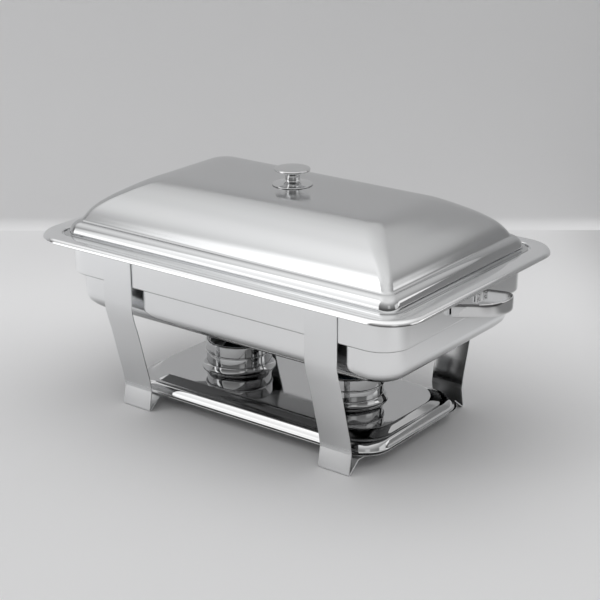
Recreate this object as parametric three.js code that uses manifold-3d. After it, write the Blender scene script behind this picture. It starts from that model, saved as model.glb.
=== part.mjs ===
// Chafing dish food warmer: a lidded dome over a food pan and a water pan, hung in a
// strap-legged stand whose lower tray carries two fuel burners.
// Millimetres, +Z up, origin on the table plane at the centre of the footprint.
// +X runs along the long side, -Y is the serving side.
import * as THREE from 'three';
import { mergeVertices } from 'three/addons/utils/BufferGeometryUtils.js';
import Module from 'manifold-3d';

const wasm = await Module();
wasm.setup();

const GAP = 0.3;            // clearance between neighbouring solids
const CORNER_FACETS = 4;    // per quarter-circle corner on pressed sheet
const TURN_FACETS = 20;     // round a turned part

const FINISHES = {
  polished: { color: 0xd6d8da, roughness: 0.12, metalness: 1 },
  satin: { color: 0xc6c8ca, roughness: 0.28, metalness: 1 },
  inner: { color: 0xb9bcbf, roughness: 0.35, metalness: 1 },
  tin: { color: 0xaeb1b4, roughness: 0.4, metalness: 1 },
  silicone: { color: 0x3a3b3d, roughness: 0.75, metalness: 0 },
  gel: { color: 0x9fb7c9, roughness: 0.35, metalness: 0 },
};

// ---------------------------------------------------------------- mesh helpers
// an indexed mesh from points and triangles, wound so that its faces look outwards
function closed(points, triangles) {
  let volume = 0;
  for (let t = 0; t < triangles.length; t += 3) {
    const [a, b, c] = [0, 1, 2].map((k) => new THREE.Vector3(...points[triangles[t + k]]));
    volume += a.dot(b.cross(c));
  }
  const index = triangles.slice();
  if (volume < 0) {
    for (let t = 0; t < index.length; t += 3) {
      [index[t + 1], index[t + 2]] = [index[t + 2], index[t + 1]];
    }
  }
  const geometry = new THREE.BufferGeometry();
  const coordinates = new Float32Array(points.flat());
  geometry.setAttribute('position', new THREE.BufferAttribute(coordinates, 3));
  geometry.setIndex(index);
  return geometry;
}

// positions only, with coincident vertices joined
function welded(geometry) {
  const copy = geometry.clone();
  for (const name of Object.keys(copy.attributes)) {
    if (name !== 'position') copy.deleteAttribute(name);
  }
  return mergeVertices(copy, 1e-4);
}

// every point sent through place, which maps [x, y, z] to [x, y, z]
function remap(geometry, place) {
  const position = geometry.attributes.position;
  const points = Array.from({ length: position.count }, (_, i) => (
    place([position.getX(i), position.getY(i), position.getZ(i)])
  ));
  return closed(points, Array.from(geometry.index.array));
}

const mirrorX = (geometry) => remap(geometry, ([x, y, z]) => [-x, y, z]);
const mirrorY = (geometry) => remap(geometry, ([x, y, z]) => [x, -y, z]);

function toManifold(geometry) {
  const mesh = welded(geometry);
  return new wasm.Manifold(new wasm.Mesh({
    numProp: 3,
    vertProperties: new Float32Array(mesh.attributes.position.array),
    triVerts: new Uint32Array(mesh.index.array),
  }));
}

function subtract(body, tool) {
  const mesh = toManifold(body).subtract(toManifold(tool)).getMesh();
  const geometry = new THREE.BufferGeometry();
  const coordinates = new Float32Array(mesh.vertProperties);
  geometry.setAttribute('position', new THREE.BufferAttribute(coordinates, 3));
  geometry.setIndex(new THREE.BufferAttribute(new Uint32Array(mesh.triVerts), 1));
  return geometry;
}

// a closed outline in (u, v) pushed along w; place sends [u, v, w] to [x, y, z]
function prism(outline, start, end, place) {
  const shape = new THREE.Shape(outline.map(([u, v]) => new THREE.Vector2(u, v)));
  const options = { depth: end - start, bevelEnabled: false, steps: 1 };
  const extrusion = welded(new THREE.ExtrudeGeometry(shape, options));
  return remap(extrusion, ([u, v, w]) => place([u, v, w + start]));
}

// a profile of [radius, z] spun about the z axis
function turned(profile, facets = TURN_FACETS) {
  const points = profile.map(([radius, z]) => new THREE.Vector2(radius, z));
  const lathe = new THREE.LatheGeometry(points, facets);
  lathe.rotateX(Math.PI / 2);
  const mesh = welded(lathe);
  // triangles that welding collapsed on the axis are left out
  const kept = [];
  const index = mesh.index.array;
  for (let t = 0; t < index.length; t += 3) {
    const [a, b, c] = index.slice(t, t + 3);
    if (a !== b && b !== c && a !== c) kept.push(a, b, c);
  }
  mesh.setIndex(kept);
  return remap(mesh, (point) => point);
}

// ---------------------------------------------------------------- pressed sheet helpers
// one ring of a rounded rectangle
function ring(halfLength, halfWidth, corner, z) {
  const radius = Math.max(0.8, Math.min(corner, halfLength - 0.4, halfWidth - 0.4));
  const points = [];
  for (let quarter = 0; quarter < 4; quarter++) {
    const centreX = (quarter === 0 || quarter === 3 ? 1 : -1) * (halfLength - radius);
    const centreY = (quarter < 2 ? 1 : -1) * (halfWidth - radius);
    for (let i = 0; i <= CORNER_FACETS; i++) {
      const angle = (quarter + i / CORNER_FACETS) * Math.PI / 2;
      points.push([centreX + radius * Math.cos(angle), centreY + radius * Math.sin(angle), z]);
    }
  }
  return points;
}

// skin a stack of equal-length rings and cap both ends
function loft(rings) {
  const count = rings[0].length;
  const points = rings.flat();
  const triangles = [];
  for (let k = 0; k + 1 < rings.length; k++) {
    for (let i = 0; i < count; i++) {
      const a = k * count + i;
      const b = k * count + (i + 1) % count;
      triangles.push(a, b, b + count, a, b + count, a + count);
    }
  }
  for (const k of [0, rings.length - 1]) {
    const centre = points.length;
    points.push([0, 0, rings[k][0][2]]);
    for (let i = 0; i < count; i++) {
      const a = k * count + i;
      const b = k * count + (i + 1) % count;
      triangles.push(...(k === 0 ? [centre, b, a] : [centre, a, b]));
    }
  }
  return closed(points, triangles);
}

// the same open line moved sideways, to its right
function offsetLine(line, distance) {
  const normals = line.slice(1).map(([x, y], i) => {
    const [dx, dy] = [x - line[i][0], y - line[i][1]];
    const length = Math.hypot(dx, dy);
    return [dy / length, -dx / length];
  });
  return line.map(([x, y], i) => {
    const before = normals[Math.max(0, i - 1)];
    const after = normals[Math.min(normals.length - 1, i)];
    const mitre = [before[0] + after[0], before[1] + after[1]];
    // the lower bound keeps the mitre short at sharp turns
    const scale = 2 / Math.max(0.5, mitre[0] ** 2 + mitre[1] ** 2);
    return [x + mitre[0] * scale * distance, y + mitre[1] * scale * distance];
  });
}

// stations are [half-length, half-width, corner radius, z] of the top face, from the
// middle to the edge; the thickness goes below it
function pressing(stations, thickness) {
  const low = offsetLine(stations.map(([halfLength, , , z]) => [halfLength, z]), thickness);
  const top = stations.map((each) => ring(...each));
  const bottom = stations.map(([halfLength, halfWidth, corner], i) => {
    const shift = low[i][0] - halfLength;
    return ring(halfLength + shift, halfWidth + shift, corner + shift, low[i][1]);
  });
  return loft([...top, ...bottom.reverse()]);
}

// a station set in from the edge of an outline
function station(outline, inset, z, corner = outline.corner - inset) {
  return [outline.length / 2 - inset, outline.width / 2 - inset, corner, z];
}

// stations round a bend whose outermost point touches the outline; angles in degrees
function bend(outline, radius, centreZ, start, end, steps) {
  return Array.from({ length: steps + 1 }, (_, i) => {
    const angle = THREE.MathUtils.degToRad(start + (end - start) * i / steps);
    return station(outline, radius - radius * Math.cos(angle), centreZ + radius * Math.sin(angle));
  });
}

// ---------------------------------------------------------------- water pan
// wide rim with a turned-down lip, recess for the food pan, shoulder, bowl
const PAN_T = 1;
const RIM = { length: 586, width: 376, corner: 48 };
const RIM_Z = 234.5;
const LIP_H = 6.3;
const RECESS = { length: 534.6, width: 329.4, corner: 25 };
const RECESS_Z = 230.2;
const SHOULDER = { length: 523, width: 315.8, corner: 38 };
const SHOULDER_Z = 181;
const BOWL = { length: 504, width: 296, corner: 36 };
const BOWL_Z = 131;
const BOWL_FILLET = 24;

function waterPan() {
  // shoulder and bowl are sized outside; the pressing follows their inner face
  const inside = ({ length, width, corner }) => (
    { length: length - 2 * PAN_T, width: width - 2 * PAN_T, corner }
  );
  const bowl = inside(BOWL);
  const shoulder = inside(SHOULDER);
  const fillet = BOWL_FILLET - PAN_T;
  const floorZ = BOWL_Z + PAN_T;
  return pressing([
    station(bowl, fillet + 60, floorZ, 4),
    ...bend(bowl, fillet, floorZ + fillet, -90, 0, 5),
    station(bowl, 0, SHOULDER_Z - 2.5),
    station(bowl, -1.2, SHOULDER_Z - 0.6),
    station(shoulder, 1.6, SHOULDER_Z + 0.6),
    station(shoulder, 0.2, SHOULDER_Z + 3),
    station(shoulder, 0, RECESS_Z - 2.2),
    station(shoulder, -0.6, RECESS_Z - 0.6),
    station(shoulder, -1.8, RECESS_Z),
    station(RECESS, 0.8, RECESS_Z),
    station(RECESS, 0, RECESS_Z + 1.2),
    station(RECESS, -0.2, RIM_Z - 1.6),
    station(RECESS, -1.6, RIM_Z - 0.2),
    station(RECESS, -3.4, RIM_Z),
    ...bend(RIM, LIP_H, RIM_Z - LIP_H, 90, 0, 5),
  ], PAN_T);
}

// ---------------------------------------------------------------- handles
// a strap loop on each end of the shoulder, a D in plan that rises away from the pan
const HANDLE_ROOT = 35.1;     // y of the fold, along the strap's centre line
const HANDLE_FOLD_R = 3;
const HANDLE_TAB = 13;        // length folded inwards against the shoulder
const HANDLE_CX = 292;        // centre of the round end
const HANDLE_R = 29.7;
const HANDLE_T = 3;
const HANDLE_H = 17.1;
const HANDLE_Z = 195.5;
const HANDLE_RISE = 0.151;    // height gained per millimetre outwards

// the arc that rounds off one corner of a line
function roundCorner(before, corner, after, radius, steps) {
  const apex = new THREE.Vector2(...corner);
  const toBefore = new THREE.Vector2(...before).sub(apex).normalize();
  const toAfter = new THREE.Vector2(...after).sub(apex).normalize();
  const half = toBefore.angleTo(toAfter) / 2;
  const centre = toBefore.clone().add(toAfter).setLength(radius / Math.sin(half)).add(apex);
  const angleAtTouch = (direction) => (
    direction.clone().multiplyScalar(radius / Math.tan(half)).add(apex).sub(centre).angle()
  );
  const start = angleAtTouch(toBefore);
  const turn = ((angleAtTouch(toAfter) - start + 3 * Math.PI) % (2 * Math.PI)) - Math.PI;
  return Array.from({ length: steps + 1 }, (_, i) => {
    const angle = start + turn * i / steps;
    return [centre.x + radius * Math.cos(angle), centre.y + radius * Math.sin(angle)];
  });
}

function rightHandle() {
  const innerX = SHOULDER.length / 2 + GAP;
  const tabX = innerX + HANDLE_T / 2;
  // each arm leaves the fold and runs tangent to the round end
  const reach = HANDLE_CX - tabX;
  const lean = Math.atan2(HANDLE_ROOT, reach)
    - Math.asin(HANDLE_R / Math.hypot(reach, HANDLE_ROOT));
  const endSteps = 7;
  const roundEnd = Array.from({ length: endSteps }, (_, i) => {
    const angle = (lean - Math.PI / 2) * (1 - i / endSteps);
    return [HANDLE_CX + HANDLE_R * Math.cos(angle), HANDLE_R * Math.sin(angle)];
  });
  const tabEnd = [tabX, HANDLE_TAB - HANDLE_ROOT];
  const fold = roundCorner(tabEnd, [tabX, -HANDLE_ROOT], roundEnd[0], HANDLE_FOLD_R, 3);
  const half = [tabEnd, ...fold, ...roundEnd];
  const otherHalf = half.map(([x, y]) => [x, -y]).reverse();
  const line = [...half, [HANDLE_CX + HANDLE_R, 0], ...otherHalf];
  const outline = [
    ...offsetLine(line, HANDLE_T / 2),
    ...offsetLine(line, -HANDLE_T / 2).reverse(),
  ];
  return prism(outline, 0, HANDLE_H, ([x, y, height]) => (
    [x, y, HANDLE_Z + height + HANDLE_RISE * Math.max(0, x - innerX - HANDLE_T)]
  ));
}

// ---------------------------------------------------------------- food pan
// full-size gastronorm
const FOOD_T = 0.9;
const FOOD_FLANGE = { length: 530, width: 325, corner: 23 };
const FOOD_MOUTH = { length: 505, width: 300 };
const FOOD_MOUTH_R = 50;
const FOOD_FLOOR = { length: 482, width: 277, corner: 42 };
const FOOD_FILLET = 16;
const FOOD_DEPTH = 65;
const FOOD_Z = 231.4;         // top of the flange

function foodPan() {
  const floorZ = FOOD_Z - FOOD_DEPTH;
  return pressing([
    station(FOOD_FLOOR, FOOD_FILLET + 50, floorZ, 30),
    ...bend(FOOD_FLOOR, FOOD_FILLET, floorZ + FOOD_FILLET, -90, -8, 4),
    station(FOOD_MOUTH, 2.2, FOOD_Z - 14, FOOD_MOUTH_R),
    station(FOOD_MOUTH, 1.6, FOOD_Z - 4.4, FOOD_MOUTH_R),
    station(FOOD_MOUTH, 0.6, FOOD_Z - 1.6, FOOD_MOUTH_R + 0.5),
    station(FOOD_MOUTH, -2.2, FOOD_Z, FOOD_MOUTH_R),
    station(FOOD_FLANGE, 0, FOOD_Z),
  ], FOOD_T);
}

// ---------------------------------------------------------------- lid
// flange, rolled bead band, hipped dome with a nearly flat top
const LID = { length: 529, width: 324 };
const LID_T = 0.9;
const LID_APEX = 307.6;
const LID_HOLE_R = 2.6;
// [inset from the flange edge, height] of the outer surface
const LID_PROFILE = [
  [0, 232.7], [5.3, 232.7], [5.9, 233.4], [6.2, 236.0], [7.0, 239.4], [8.6, 243.0],
  [10.8, 246.0], [13.5, 248.2], [16.5, 249.6], [19, 250.2], [22, 255], [26, 261.4],
  [31, 267.6], [38, 274], [48, 281.4], [60, 288.8], [72, 295.8], [82, 300.8],
  [90, 303.9], [98, 306], [108, 307.1], [120, 307.5], [134, LID_APEX],
];
const LID_FLANGE_CORNER = 22;
const LID_BEAD_INSET = 19;    // where the bead meets the dome
const LID_BEAD_CORNER = 11;
const LID_HIP_EASE = 0.14;    // corner radius gained per millimetre of inset on the dome

// corner radius of the lid: tight at the bead, easing along the hips
function lidCorner(inset) {
  if (inset < LID_BEAD_INSET) {
    const lost = LID_FLANGE_CORNER - LID_BEAD_CORNER;
    return LID_FLANGE_CORNER - lost * inset / LID_BEAD_INSET;
  }
  return LID_BEAD_CORNER + LID_HIP_EASE * (inset - LID_BEAD_INSET);
}

function lidShell() {
  const stations = LID_PROFILE.map(([inset, z]) => station(LID, inset, z, lidCorner(inset)));
  const hole = new THREE.CylinderGeometry(LID_HOLE_R, LID_HOLE_R, 8, 12);
  hole.rotateX(Math.PI / 2);
  hole.translate(0, 0, LID_APEX);
  return subtract(pressing(stations.reverse(), LID_T), hole);
}

// ---------------------------------------------------------------- knob
// a spool on the dome, held by a screw from below
const KNOB_R = 23.2;
const KNOB_TOP = 330.4;
const KNOB_NECK_R = 9.4;
const KNOB_BASE_R = 26;
const KNOB_SEAT = LID_APEX + GAP;
const POCKET_R = 20;          // pocket under the knob's foot, for the gasket
const POCKET_DEPTH = 1.2;
const BORE_R = 3.1;
const BORE_DEPTH = 13;
const WASHER_TOP = LID_APEX - LID_T - GAP;
const WASHER_T = 1.2;
const SCREW_R = 2.2;

function knobGasket() {
  const radius = POCKET_R - GAP;
  const top = KNOB_SEAT + POCKET_DEPTH - GAP;
  return turned([[4.5, KNOB_SEAT], [radius, KNOB_SEAT], [radius, top], [4.5, top], [4.5, KNOB_SEAT]]);
}

function lidKnob() {
  const seat = KNOB_SEAT;
  return turned([
    // pocket and foot
    [BORE_R, seat + POCKET_DEPTH], [POCKET_R, seat + POCKET_DEPTH], [POCKET_R, seat],
    [KNOB_BASE_R - 0.5, seat], [KNOB_BASE_R, seat + 0.5], [KNOB_BASE_R - 0.6, seat + 1.1],
    [20.4, seat + 2.2], [16, seat + 2.6], [12.6, seat + 3.4], [10.4, seat + 4.6],
    // neck
    [KNOB_NECK_R, seat + 6], [KNOB_NECK_R + 0.2, seat + 9], [10.2, seat + 11.4],
    [11.6, seat + 13.8], [14.6, seat + 16], [19, seat + 17.6],
    // head
    [KNOB_R - 0.7, seat + 18.4], [KNOB_R, seat + 19.6], [KNOB_R - 0.2, seat + 20.6],
    [KNOB_R - 1.4, seat + 21.3], [17, KNOB_TOP - 0.7], [9, KNOB_TOP - 0.15], [0, KNOB_TOP],
    // bore
    [0, seat + BORE_DEPTH], [BORE_R, seat + BORE_DEPTH], [BORE_R, seat + POCKET_DEPTH],
  ], 24);
}

function knobWasher() {
  const low = WASHER_TOP - WASHER_T;
  return turned([[BORE_R, low], [9, low], [9, WASHER_TOP], [BORE_R, WASHER_TOP], [BORE_R, low]]);
}

function knobScrew() {
  const headTop = WASHER_TOP - WASHER_T - GAP;
  const tip = KNOB_SEAT + BORE_DEPTH - 1;
  return turned([
    [0, WASHER_TOP - 4.1], [3.4, WASHER_TOP - 4.1], [5, WASHER_TOP - 3], [5.2, headTop],
    [SCREW_R, headTop], [SCREW_R, tip], [0, tip],
  ]);
}

// ---------------------------------------------------------------- stand
// four bent strap legs, two rails, and a pressed fuel tray
const LEG_X0 = 138.6;
const LEG_X1 = 185.6;
const LEG_T = 2;
// outer face of a leg, [half-width, height], top to bottom
const LEG_FACE = [
  [160.6, 227.5], [160.6, 153], [159.4, 145], [156.4, 133], [151.2, 117], [146.6, 101],
  [142.6, 86], [138.6, 71], [134.6, 57], [131.2, 44], [128.2, 27], [133.0, 2.2],
];
const FOOT_TIP = 131.6;       // half-width at the table
const TAB_Z = 16;             // tab under the tray flange
const TAB_BEND = 112;
const TAB_END = 97;

const RAIL_T = 3;
const RAIL_X = 186;           // half-length
const RAIL_Z0 = 217.5;
const RAIL_Z1 = RECESS_Z - PAN_T - GAP - 0.1;

// flat bar outside the rear legs, hidden under the rim, that carries the water pan's ledge
function rearRail() {
  const y0 = LEG_FACE[0][0] + GAP;
  const y1 = y0 + RAIL_T;
  const section = [[y0, RAIL_Z0], [y1, RAIL_Z0], [y1, RAIL_Z1], [y0, RAIL_Z1]];
  return prism(section, -RAIL_X, RAIL_X, ([y, z, x]) => [x, y, z]);
}

// down the side, a folded foot, and a tab under the tray
function frontRightLeg() {
  const profile = [
    ...LEG_FACE, [FOOT_TIP + 0.9, 0], [FOOT_TIP - 1.5, 0],
    [TAB_BEND - 0.8, TAB_Z - LEG_T], [TAB_END, TAB_Z - LEG_T], [TAB_END, TAB_Z],
    [TAB_BEND, TAB_Z], [FOOT_TIP - 1.2, 3.4],
    ...offsetLine(LEG_FACE, LEG_T).slice(0, -1).reverse(),
  ];
  return prism(profile, LEG_X0, LEG_X1, ([halfWidth, z, x]) => [x, -halfWidth, z]);
}

// a raised mirror panel, a chamfer, a trough, a bead and a narrow flange
const TRAY = { length: 408.8, width: 222.8, corner: 36 };
const PANEL = { length: 372.6, width: 174.8, corner: 47 };
const TRAY_T = 1;
const TRAY_FLOOR_Z = 37.6;
// [distance outwards from the panel edge across the short way, height]
const TRAY_PROFILE = [
  [-50, TRAY_FLOOR_Z], [-1.6, TRAY_FLOOR_Z], [-0.5, 37.4], [0.5, 36.7], [5.4, 31.6],
  [6.8, 30.5], [8.4, 30.0], [10.0, 30.2], [11.6, 30.5], [13.2, 30.2], [15.4, 28.8],
  [17.4, 26.2], [19.0, 22.8], [19.8, 20.6], [20.6, 19.3], [21.6, 18.9], [24, 18.9],
];

function fuelTray() {
  // the mouldings are narrower at the ends than along the sides
  const border = (TRAY.width - PANEL.width) / 2;
  const squeeze = (TRAY.length - PANEL.length) / 2 / border;
  return pressing(TRAY_PROFILE.map(([out, z]) => [
    PANEL.length / 2 + out * squeeze,
    PANEL.width / 2 + out,
    PANEL.corner + (TRAY.corner - PANEL.corner) * out / border,
    z,
  ]), TRAY_T);
}

// ---------------------------------------------------------------- burners
// each is built on the z axis and moved to its place on the tray
const BURNER_X = 92.5;
const BURNER_R = 45;
const BURNER_BASE = TRAY_FLOOR_Z + GAP;
const BURNER_TOP = TRAY_FLOOR_Z + 40.2;
const SKIRT_R = 50;
const COVER_H = 17.6;
const FLAME_HOLE_R = 38;
const CUP_FLOOR = 1.8;        // top of the cup's floor above the burner base
const CAN_R = 40.5;
const CAN_MOUTH_R = 21;
const CAN_BASE = BURNER_BASE + CUP_FLOOR + GAP;
const CAN_TOP = CAN_BASE + 25.4;

// cup that holds the fuel can
function burnerCup() {
  const [wall, base, rim] = [BURNER_R, BURNER_BASE, BURNER_TOP - 1.8];
  return turned([
    [0, base + 0.6], [wall - 3.5, base + 0.6], [wall - 1.8, base + 1.4], [wall - 1.2, base + 3],
    [wall - 1.2, rim], [wall - 2.2, rim], [wall - 2.2, base + 3.2],
    [wall - 3.6, base + CUP_FLOOR], [0, base + CUP_FLOOR],
  ]);
}

// flared base ring
function burnerSkirt() {
  const [wall, base] = [BURNER_R, BURNER_BASE];
  return turned([
    [wall - 0.9, base + 5.6], [wall - 0.9, base + 9.4], [wall, base + 9.4],
    [wall + 0.6, base + 7.4], [wall + 2.4, base + 3.2], [SKIRT_R, base + 0.7], [SKIRT_R, base],
    [SKIRT_R - 1.2, base], [wall + 1.2, base + 3.2], [wall - 0.3, base + 5.6],
    [wall - 0.9, base + 5.6],
  ]);
}

// cover ring with a lower bead and a sunken lip round the flame opening
function burnerCover() {
  const [wall, top, low] = [BURNER_R, BURNER_TOP, BURNER_TOP - COVER_H];
  return turned([
    // outside, upwards
    [wall - 0.9, low], [wall + 0.5, low + 0.2], [wall + 0.9, low + 1.0], [wall + 0.5, low + 1.8],
    [wall, low + 2.2], [wall, top - 1.6], [wall - 0.6, top - 0.5], [wall - 1.8, top],
    // lip, inwards
    [wall - 3.4, top], [wall - 4.6, top - 0.7], [wall - 5.6, top - 2.4],
    [FLAME_HOLE_R + 0.4, top - 3], [FLAME_HOLE_R, top - 3.6], [FLAME_HOLE_R, top - 4.4],
    // underside, back to the wall
    [FLAME_HOLE_R + 1.2, top - 4.1], [wall - 4.7, top - 3.3], [wall - 3.8, top - 1.5],
    [wall - 3, top - 1], [wall - 1.6, top - 1], [wall - 0.9, top - 1.8], [wall - 0.9, low],
  ]);
}

function fuelCan() {
  const [wall, mouth, base, top] = [CAN_R, CAN_MOUTH_R, CAN_BASE, CAN_TOP];
  return turned([
    [0, base], [wall - 0.8, base], [wall, base + 0.9], [wall, top - 0.9], [wall - 0.9, top],
    [mouth + 1, top], [mouth, top - 0.9], [mouth, top - 1.8], [mouth + 0.8, top - 1.0],
    [wall - 1.3, top - 1.0], [wall - 0.8, top - 1.4], [wall - 0.8, base + 1.3],
    [wall - 1.4, base + 0.8], [0, base + 0.8],
  ]);
}

function fuelGel() {
  const [wall, base, top] = [CAN_R, CAN_BASE, CAN_TOP];
  return turned([
    [0, base + 1.1], [wall - 2, base + 1.1], [wall - 1.2, base + 2],
    [wall - 1.2, top - 8], [wall - 3, top - 8.6], [0, top - 9],
  ]);
}

// ---------------------------------------------------------------- assembly
const dish = new THREE.Group();
dish.name = 'chafing_dish';

function add(name, geometry, finish) {
  const material = new THREE.MeshStandardMaterial({ ...FINISHES[finish], name: finish });
  const mesh = new THREE.Mesh(geometry, material);
  mesh.name = name;
  dish.add(mesh);
}

add('water_pan', waterPan(), 'polished');
const handle = rightHandle();
add('handle_right', handle, 'polished');
add('handle_left', mirrorX(handle), 'polished');
add('food_pan', foodPan(), 'inner');

add('lid_shell', lidShell(), 'polished');
add('knob_gasket', knobGasket(), 'silicone');
add('lid_knob', lidKnob(), 'polished');
add('knob_washer', knobWasher(), 'satin');
add('knob_screw', knobScrew(), 'satin');

const rail = rearRail();
add('rail_rear', rail, 'satin');
add('rail_front', mirrorY(rail), 'satin');
const frontLeg = frontRightLeg();
for (const [end, leg] of [['front', frontLeg], ['rear', mirrorY(frontLeg)]]) {
  add(`leg_${end}_right`, leg, 'satin');
  add(`leg_${end}_left`, mirrorX(leg), 'satin');
}
add('fuel_tray', fuelTray(), 'polished');

const burnerParts = [
  ['burner_cup', burnerCup(), 'polished'],
  ['burner_skirt', burnerSkirt(), 'polished'],
  ['burner_cover', burnerCover(), 'polished'],
  ['fuel_can', fuelCan(), 'tin'],
  ['fuel_gel', fuelGel(), 'gel'],
];
for (const [side, shift] of [['left', -BURNER_X], ['right', BURNER_X]]) {
  for (const [name, geometry, finish] of burnerParts) {
    add(`${name}_${side}`, remap(geometry, ([x, y, z]) => [x + shift, y, z]), finish);
  }
}

export default dish;
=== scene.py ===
"""Chafing dish food warmer: the visible pieces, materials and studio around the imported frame.

The dish is long in X, with a handle at each end, and its front faces -Y. +Z is up. Pieces are
drawn in millimetres and written to meshes in metres. Studio distances are in metres.
"""
import math

import bpy
import bmesh
import numpy as np
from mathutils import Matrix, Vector


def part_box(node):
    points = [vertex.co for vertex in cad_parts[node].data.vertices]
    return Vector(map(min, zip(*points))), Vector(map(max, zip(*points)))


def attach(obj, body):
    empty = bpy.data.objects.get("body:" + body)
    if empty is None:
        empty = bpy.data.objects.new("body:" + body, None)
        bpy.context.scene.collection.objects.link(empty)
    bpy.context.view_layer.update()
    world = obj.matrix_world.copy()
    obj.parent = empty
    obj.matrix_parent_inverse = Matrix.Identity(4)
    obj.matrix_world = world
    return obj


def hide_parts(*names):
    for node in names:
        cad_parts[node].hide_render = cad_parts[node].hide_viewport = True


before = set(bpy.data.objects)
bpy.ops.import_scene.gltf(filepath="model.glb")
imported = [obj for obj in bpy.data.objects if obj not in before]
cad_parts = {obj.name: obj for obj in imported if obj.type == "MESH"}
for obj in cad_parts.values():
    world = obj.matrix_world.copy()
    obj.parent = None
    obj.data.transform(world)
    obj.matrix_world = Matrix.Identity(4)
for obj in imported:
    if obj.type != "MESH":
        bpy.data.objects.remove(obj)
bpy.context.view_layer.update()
MM = 0.001


# ------------------------------------------------------------------ places, all from the frame
def box_mm(name):
    """Lowest and highest corner of a frame piece, in millimetres."""
    low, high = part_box(name)
    return np.array(low) * 1000, np.array(high) * 1000


PAN_LO, PAN_HI = box_mm("water_pan")
LID_LO, LID_HI = box_mm("lid_shell")
FOOD_LO, FOOD_HI = box_mm("food_pan")
TRAY_LO, TRAY_HI = box_mm("fuel_tray")
KNOB_LO, KNOB_HI = box_mm("lid_knob")
RAIL_LO, RAIL_HI = box_mm("rail_rear")
LEG_LO, LEG_HI = box_mm("leg_front_right")
HANDLE_LO, HANDLE_HI = box_mm("handle_right")

CORNER = 16          # facets on each quarter corner of pressed sheet
ROUND = 112          # facets round a turned piece


# ------------------------------------------------------------------ shader helpers
class Graph:
    """Adds nodes to the node tree of a material or world."""

    def __init__(self, owner):
        owner.use_nodes = True
        self.tree = owner.node_tree

    def add(self, kind, **values):
        """A node, with each value set on the input or else the property of that name."""
        new = self.tree.nodes.new(kind)
        for key, value in values.items():
            if key in new.inputs:
                new.inputs[key].default_value = value
            else:
                setattr(new, key, value)
        return new

    def link(self, source, target):
        self.tree.links.new(source, target)

    def calc(self, operation, *values, clamp=False):
        """A math node on numbers and sockets."""
        new = self.add("ShaderNodeMath", operation=operation, use_clamp=clamp)
        for i, value in enumerate(values):
            if isinstance(value, (int, float)):
                new.inputs[i].default_value = value
            else:
                self.link(value, new.inputs[i])
        return new.outputs[0]

    def remap(self, value, source, target, **options):
        """Map the source range onto the target range, clamped."""
        new = self.add("ShaderNodeMapRange", clamp=True, **options)
        for i, limit in enumerate((*source, *target)):
            new.inputs[i + 1].default_value = limit
        self.link(value, new.inputs[0])
        return new.outputs[0]

    def smoothstep(self, value, source, target):
        return self.remap(value, source, target, interpolation_type="SMOOTHSTEP")

    def noise(self, position, scale, detail, rough, stretch=None, distort=0.0):
        if stretch:
            mapping = self.add("ShaderNodeMapping")
            mapping.inputs["Scale"].default_value = stretch
            self.link(position, mapping.inputs["Vector"])
            position = mapping.outputs[0]
        new = self.add("ShaderNodeTexNoise", Scale=scale, Detail=detail, Roughness=rough,
                       Distortion=distort)
        self.link(position, new.inputs["Vector"])
        return new.outputs["Fac"]

    def dim(self, colour, factor):
        """A colour multiplied by a factor."""
        new = self.add("ShaderNodeVectorMath", operation="SCALE")
        self.link(colour, new.inputs[0])
        self.link(factor, new.inputs["Scale"])
        return new.outputs[0]


# ------------------------------------------------------------------ materials
def metal_colour(graph, position, base, tint, scale, hairs):
    """A little warmer or cooler from place to place, greyer in the scratches."""
    base = np.array(base)
    cool, warm = (0.995, 1.0, 1.006), (1.004, 1.0, 0.994)
    ramp = graph.add("ShaderNodeValToRGB")
    first, second = ramp.color_ramp.elements
    first.position = 0.25
    second.position = 0.75
    first.color = (*(base * (1 - tint) * cool), 1)
    second.color = (*np.minimum(base * (1 + tint) * warm, 1), 1)
    graph.link(graph.noise(position, scale=3.1 * scale, detail=4, rough=0.55), ramp.inputs[0])
    mix = graph.add("ShaderNodeMix", data_type="RGBA")
    graph.link(graph.calc("MULTIPLY", hairs, 0.5, clamp=True), mix.inputs["Factor"])
    graph.link(ramp.outputs[0], mix.inputs["A"])
    mix.inputs["B"].default_value = (*(base * 0.82), 1)
    return mix.outputs["Result"]


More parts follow.
